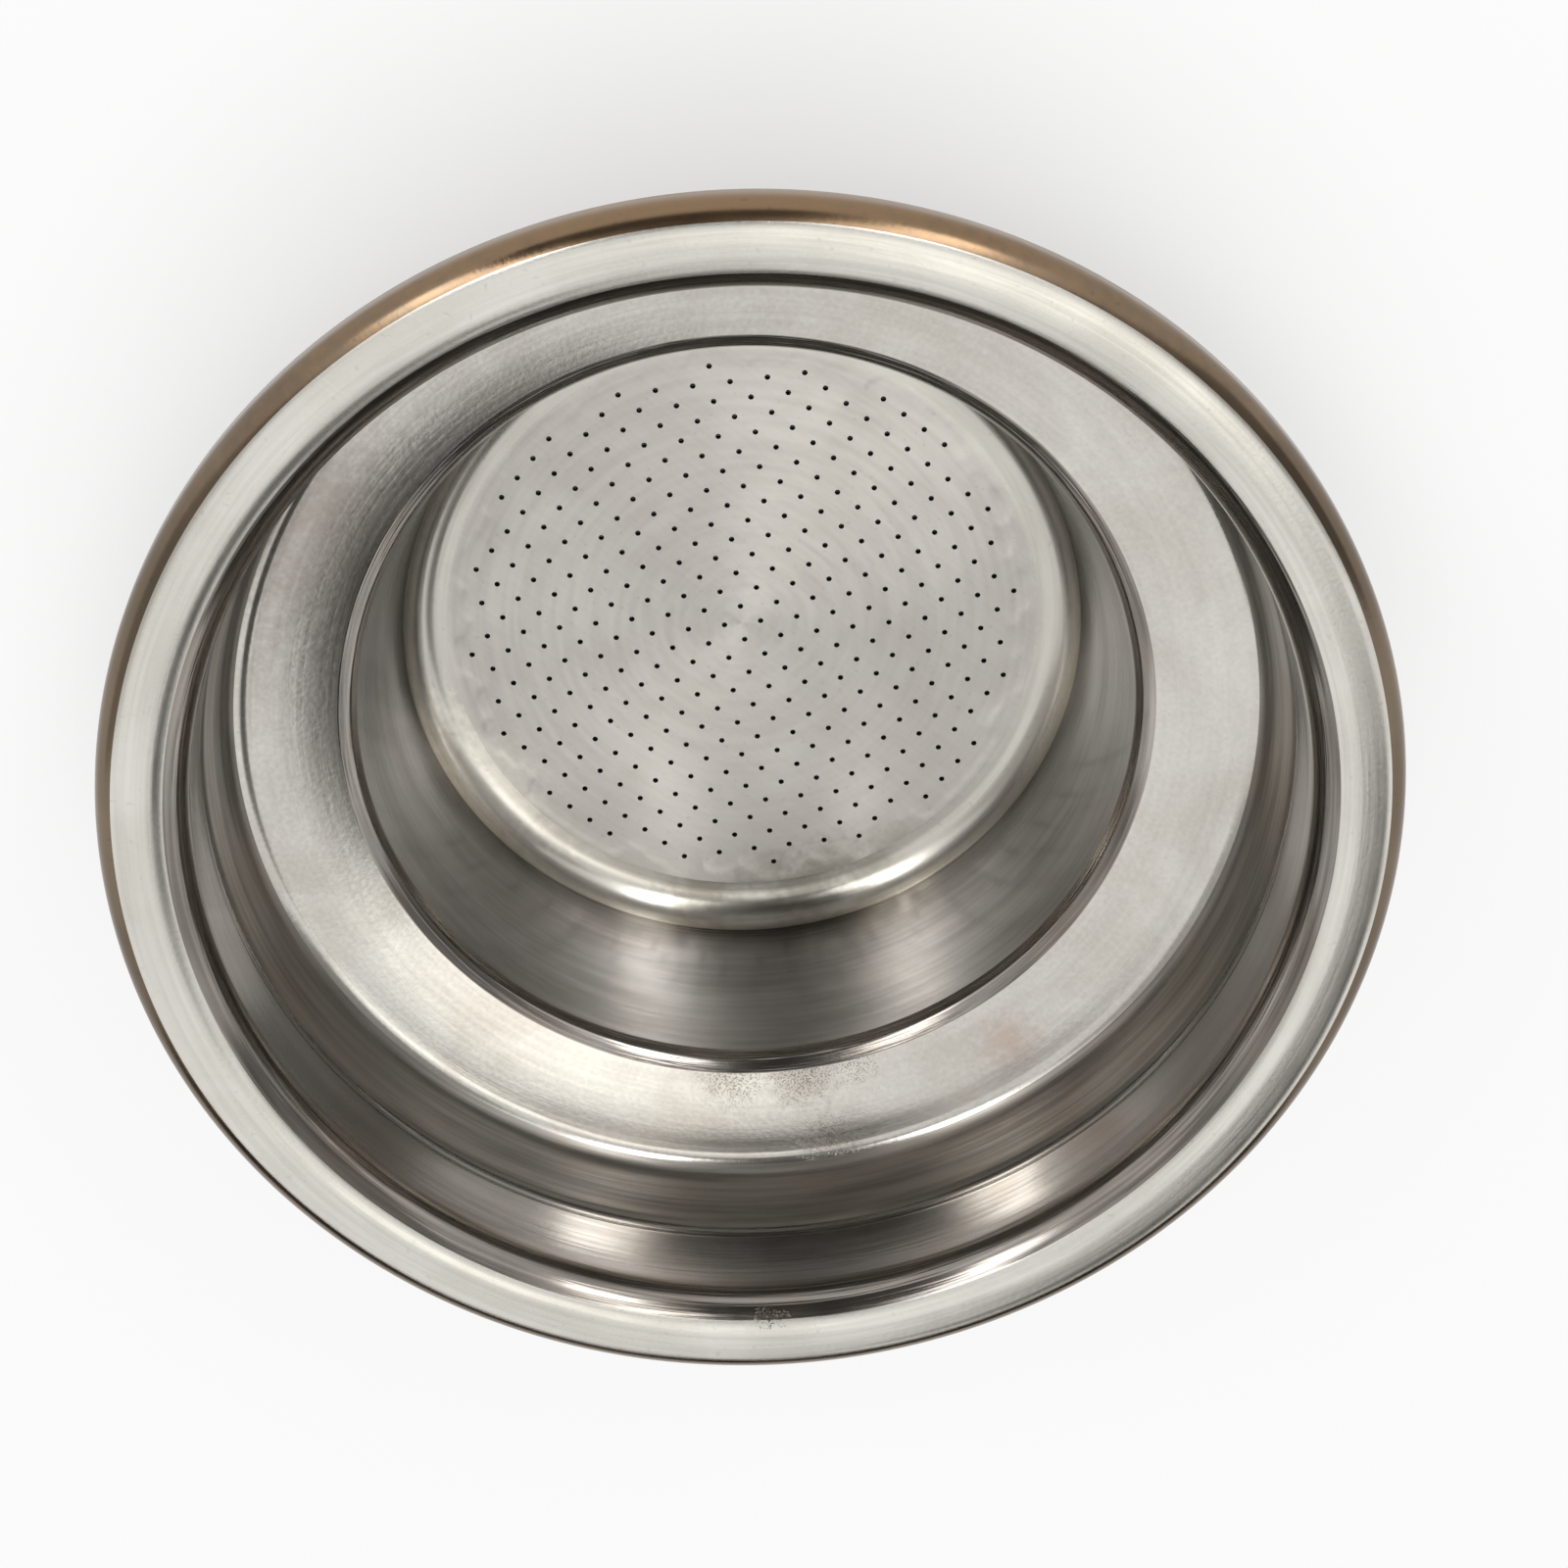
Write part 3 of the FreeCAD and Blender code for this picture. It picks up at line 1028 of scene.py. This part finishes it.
class BASKET_OT_steel(Operator):
    """Make the pressed and perforated basket in worn steel"""

    bl_idname = "basket.steel"
    bl_label = "Steel Basket"

    def execute(self, context):
        """Build the mesh, give it its finishes and let it stand for the solid."""
        settings = context.scene.basket
        shape = build_basket(settings)
        data = bpy.data.meshes.new("pressed_basket")
        shape.to_mesh(data)
        shape.free()
        for polygon in data.polygons:
            polygon.use_smooth = True
        piece = bpy.data.objects.new("pressed_basket", data)
        context.scene.collection.objects.link(piece)
        groups = shared_groups()
        finishes = basket_finishes(settings.tones)
        for name in FINISHES:
            data.materials.append(
                steel_material(name + "_steel", finishes[name], settings.tones.tarnish, groups)
            )
        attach(piece, "root")
        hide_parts(NODE)
        return {"FINISHED"}


def direction(azimuth, elevation):
    """Unit vector towards a place round the basket, both angles in degrees."""
    turn, tilt = math.radians(azimuth), math.radians(elevation)
    return Vector((
        math.cos(turn) * math.cos(tilt), math.sin(turn) * math.cos(tilt), math.sin(tilt),
    ))


def seen_or_mirrored(add):
    """One for what is seen straight, in metal or through glass, and nought for other light."""
    path = add("ShaderNodeLightPath").outputs
    seen = math_node(add, "ADD", path["Is Camera Ray"], path["Is Glossy Ray"])
    return math_node(add, "ADD", seen, path["Is Transmission Ray"], clamp=True)


# The share of the floor that glows where nothing shades it, and the ring round the basket
# over which the glow comes in, so that the floor under the basket stays dark: the real shadow,
# with painted contact shadow round the basket.
FLOOR_GLOW = 0.78
GLOW_START = 18 * MM
GLOW_END = 48 * MM


def floor_material(colour, ring):
    """Pale matt floor that stays white where nothing shades it, but darker under and round the
    basket: a painted contact shadow.
    """
    material, add = new_material("pale_floor")
    matt = add("ShaderNodeBsdfDiffuse", {"Color": opaque(colour)})
    glow = add("ShaderNodeEmission", {"Color": (1, 1, 1, 1), "Strength": 1.0})
    # Painted contact shadow: the glow fades out near the basket.
    clear = add("ShaderNodeGroup", {"Start": GLOW_START, "End": GLOW_END}, node_tree=ring)
    kept = math_node(add, "MULTIPLY", seen_or_mirrored(add), FLOOR_GLOW)
    kept = math_node(add, "MULTIPLY", kept, clear.outputs["Mask"])
    both = add("ShaderNodeMixShader", {0: kept, 1: matt.outputs[0], 2: glow.outputs[0]})
    add("ShaderNodeOutputMaterial", {"Surface": both.outputs[0]})
    return material


def rectangle(name, width, height, material):
    """A rectangle about its own origin, in its XY plane."""
    x, y = width / 2, height / 2
    data = bpy.data.meshes.new(name)
    data.from_pydata([(-x, -y, 0), (x, -y, 0), (x, y, 0), (-x, y, 0)], [], [(0, 1, 2, 3)])
    data.materials.append(material)
    return bpy.data.objects.new(name, data)


# The floor's width, and how far it lies under the basket, so that the two don't touch.
FLOOR_WIDTH = 6.0
FLOOR_DROP = 0.02 * MM


def add_floor(scene, colour, ring):
    """The floor that the basket stands on."""
    floor = rectangle("floor", FLOOR_WIDTH, FLOOR_WIDTH, floor_material(colour, ring))
    floor.location.z = -FLOOR_DROP
    scene.collection.objects.link(floor)


def facing_origin(place):
    """Matrix of something at a place that looks at the basket."""
    turn = (-place).to_track_quat("-Z", "Y")
    return Matrix.Translation(place) @ turn.to_matrix().to_4x4()


def add_lamp(scene, name, where, width, height, strength, colour):
    """A soft box of about the given brightness."""
    data = bpy.data.lights.new(name, "AREA")
    data.shape = "RECTANGLE"
    data.size = width
    data.size_y = height
    data.energy = strength * math.pi * width * height
    data.color = colour
    lamp = bpy.data.objects.new(name, data)
    lamp.matrix_world = where
    scene.collection.objects.link(lamp)


def add_card(scene, name, where, width, height, colour):
    """A dark or grey card that only the metal mirrors, so that its curves show."""
    material, add = new_material(name)
    paper = add("ShaderNodeEmission", {"Color": opaque(colour), "Strength": 1.0})
    add("ShaderNodeOutputMaterial", {"Surface": paper.outputs[0]})
    card = rectangle(name, width, height, material)
    card.matrix_world = where
    card.visible_camera = False
    card.visible_diffuse = False
    card.visible_shadow = False
    card.visible_transmission = False
    scene.collection.objects.link(card)


def light_world(scene, fill):
    """White all round for what is seen or mirrored, and a softer fill for the rest."""
    world = bpy.data.worlds.new("studio")
    scene.world = world
    world.use_nodes = True
    world.node_tree.nodes.clear()
    add = nodes_of(world.node_tree)
    white = add("ShaderNodeBackground", {"Color": (1, 1, 1, 1), "Strength": 1.0})
    soft = add("ShaderNodeBackground", {"Color": (1, 1, 1, 1), "Strength": fill})
    parts = {0: seen_or_mirrored(add), 1: soft.outputs[0], 2: white.outputs[0]}
    both = add("ShaderNodeMixShader", parts)
    add("ShaderNodeOutputWorld", {"Surface": both.outputs[0]})


# Where the photograph was taken from: the point of the floor in the middle of the
# picture, the way to the camera, its turn about its own axis and its lens.
AIM = Vector((8.81, -7.03, 0.8)) * MM
CAMERA_AZIMUTH = 132.42
CAMERA_ELEVATION = 63.13
CAMERA_ROLL = 175.63
CAMERA_DISTANCE = 0.21078
LENS = 77.89
SENSOR = 36.0


def add_camera(scene):
    """The camera at the photograph's place and turn."""
    data = bpy.data.cameras.new("camera")
    data.sensor_fit = "HORIZONTAL"
    data.sensor_width = SENSOR
    data.lens = LENS
    data.clip_start = 0.01
    data.clip_end = 20
    camera = bpy.data.objects.new("camera", data)
    way = direction(CAMERA_AZIMUTH, CAMERA_ELEVATION)
    upright = way.to_track_quat("Z", "Y").to_matrix().to_4x4()
    roll = Euler((0, 0, math.radians(CAMERA_ROLL))).to_matrix().to_4x4()
    place = Matrix.Translation(AIM + way * CAMERA_DISTANCE)
    camera.matrix_world = place @ upright @ roll
    scene.collection.objects.link(camera)
    scene.camera = camera


# Colours of the lamps and of the cards.
WHITE = (1.0, 1.0, 1.0)
CREAM = (1.0, 0.97, 0.86)
DARK = (0.05, 0.045, 0.04)
SHADED = (0.32, 0.31, 0.30)
GREY = (0.50, 0.49, 0.47)

# Soft boxes: name, the setting of their strength, azimuth, elevation, distance, width,
# height and colour. Angles are in degrees and lengths in metres.
LAMPS = (
    ("key_lamp", "key", -6, 77, 0.9, 0.24, 0.26, CREAM),
    ("left_lamp", "side", 101, 50, 0.7, 0.12, 0.5, WHITE),
    ("right_lamp", "side", 171, 50, 0.7, 0.12, 0.5, WHITE),
)

# Cards: name, azimuth, elevation, turn about the line to the basket, width, height and
# colour. All of them hang at one distance.
CARD_DISTANCE = 0.8
CARDS = (
    ("camera_card", 136, 52, 0, 0.62, 0.85, DARK),
    ("far_card", -24.5, 48.5, 45, 0.46, 0.29, DARK),
    ("horizon_card", -55, 9, 0, 1.40, 0.58, DARK),
    ("left_card", 50, 40, 0, 0.45, 0.70, SHADED),
    ("right_card", 222, 40, 0, 0.45, 0.70, GREY),
)


class BASKET_OT_stage(Operator):
    """Set the pale floor, the soft light and the camera"""

    bl_idname = "basket.stage"
    bl_label = "Stage"

    def execute(self, context):
        """Build the stage round the basket."""
        scene = context.scene
        look = scene.basket.stage
        scene.view_settings.view_transform = "Standard"
        light_world(scene, look.fill)
        ring = bpy.data.node_groups.get("Ring Mask") or ring_mask_group()
        add_floor(scene, look.floor, ring)
        for name, setting, azimuth, elevation, distance, width, height, colour in LAMPS:
            where = facing_origin(direction(azimuth, elevation) * distance)
            add_lamp(scene, name, where, width, height, getattr(look, setting), colour)
        for name, azimuth, elevation, turn, width, height, colour in CARDS:
            where = facing_origin(direction(azimuth, elevation) * CARD_DISTANCE)
            where = where @ Matrix.Rotation(math.radians(turn), 4, "Z")
            add_card(scene, name, where, width, height, colour)
        add_camera(scene)
        return {"FINISHED"}


class BASKET_PT_panel(Panel):
    """The basket's sizes, tones and stage"""

    bl_label = "Filter Basket"
    bl_idname = "BASKET_PT_panel"
    bl_space_type = "VIEW_3D"
    bl_region_type = "UI"
    bl_category = "Basket"

    def draw(self, context):
        """List every value, then the two operators."""
        settings = context.scene.basket
        for label, group in (
            ("Shell", settings.shell), ("Holes", settings.holes),
            ("Tones", settings.tones), ("Stage", settings.stage),
        ):
            box = self.layout.box()
            box.label(text=label)
            for name in group.__annotations__:
                box.prop(group, name)
        for operator in (BASKET_OT_steel, BASKET_OT_stage):
            self.layout.operator(operator.bl_idname)


CLASSES = (
    ShellSizes, HoleSizes, SteelTones, StageLook, BasketSettings,
    BASKET_OT_steel, BASKET_OT_stage, BASKET_PT_panel,
)


def register():
    """Make the settings, the operators and the panel known."""
    for entry in CLASSES:
        bpy.utils.register_class(entry)
    bpy.types.Scene.basket = PointerProperty(type=BasketSettings)


def unregister():
    """Take them away again."""
    del bpy.types.Scene.basket
    for entry in reversed(CLASSES):
        bpy.utils.unregister_class(entry)


def main():
    """Build the basket and its stage."""
    register()
    bpy.ops.basket.steel()
    bpy.ops.basket.stage()


if __name__ == "__main__":
    main()
